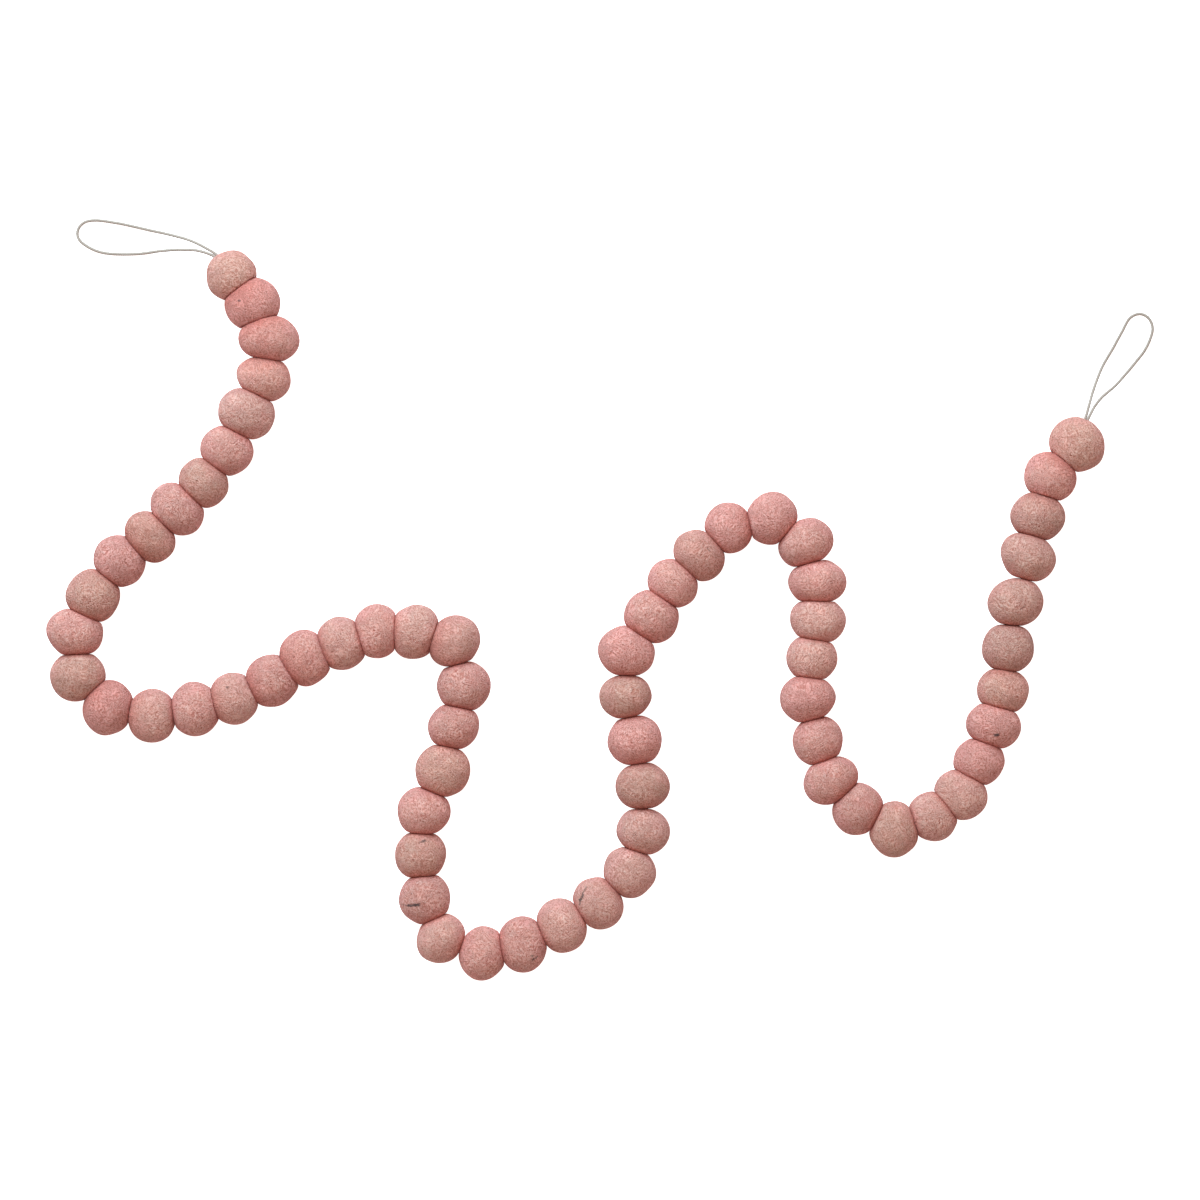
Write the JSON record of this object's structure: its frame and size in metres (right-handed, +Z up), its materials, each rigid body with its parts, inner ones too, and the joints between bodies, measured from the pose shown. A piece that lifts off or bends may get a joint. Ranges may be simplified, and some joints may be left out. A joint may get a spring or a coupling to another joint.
{
  "type": "felt ball garland",
  "caption": "Garland of round wool felt balls threaded tight on one cotton string, with a hanging loop at each end, laid out in a winding line.",
  "frame": {"origin": "on the surface the garland lies on, under the middle of the balls' box", "axes": "+Z up off the surface, +X to the right and +Y to the top of the lay as it is seen from above; the box is longest along X"},
  "size_m": [0.6879, 0.4727, 0.0341],
  "materials": {
    "felt_rose": "dull rose felted wool",
    "felt_blush": "pale blush felted wool",
    "felt_sand": "sandy pink felted wool",
    "felt_clay": "brownish pink felted wool",
    "cotton_string": "matt twisted undyed cotton"
  },
  "bodies": {
    "root": {"ball_01": "felt_sand", "balls_02_03": "felt_rose", "ball_04": "felt_blush", "ball_05": "felt_blush", "ball_06": "felt_rose", "ball_07": "felt_sand", "ball_08": "felt_rose", "ball_09": "felt_sand", "ball_10": "felt_rose", "ball_11": "felt_sand", "ball_12": "felt_rose", "ball_13": "felt_sand", "ball_14": "felt_rose", "ball_15": "felt_blush", "ball_16": "felt_rose", "ball_17": "felt_blush", "balls_18_19": "felt_rose", "ball_20": "felt_blush", "ball_21": "felt_rose", "ball_22": "felt_blush", "ball_23": "felt_blush", "balls_24_25": "felt_rose", "ball_26": "felt_sand", "ball_27": "felt_rose", "ball_28": "felt_sand", "ball_29": "felt_rose", "ball_30": "felt_blush", "balls_31_32": "felt_rose", "ball_33": "felt_blush", "ball_34": "felt_blush", "ball_35": "felt_blush", "ball_36": "felt_blush", "ball_37": "felt_sand", "ball_38": "felt_rose", "ball_39": "felt_sand", "balls_40_41": "felt_rose", "ball_42": "felt_rose", "ball_43": "felt_sand", "ball_44": "felt_rose", "ball_45": "felt_rose", "balls_46_47": "felt_rose", "ball_48": "felt_blush", "ball_49": "felt_blush", "balls_50_51": "felt_rose", "ball_52": "felt_rose", "ball_53": "felt_rose", "ball_54": "felt_sand", "ball_55": "felt_blush", "ball_56": "felt_blush", "balls_57_58": "felt_rose", "ball_59": "felt_sand", "ball_60": "felt_clay", "ball_61": "felt_clay", "ball_62": "felt_clay", "ball_63": "felt_clay", "ball_64": "felt_rose", "ball_65": "felt_sand", "string_core": "cotton_string", "string_loop_left": "cotton_string", "string_loop_right": "cotton_string"}
  },
  "joints": []
}
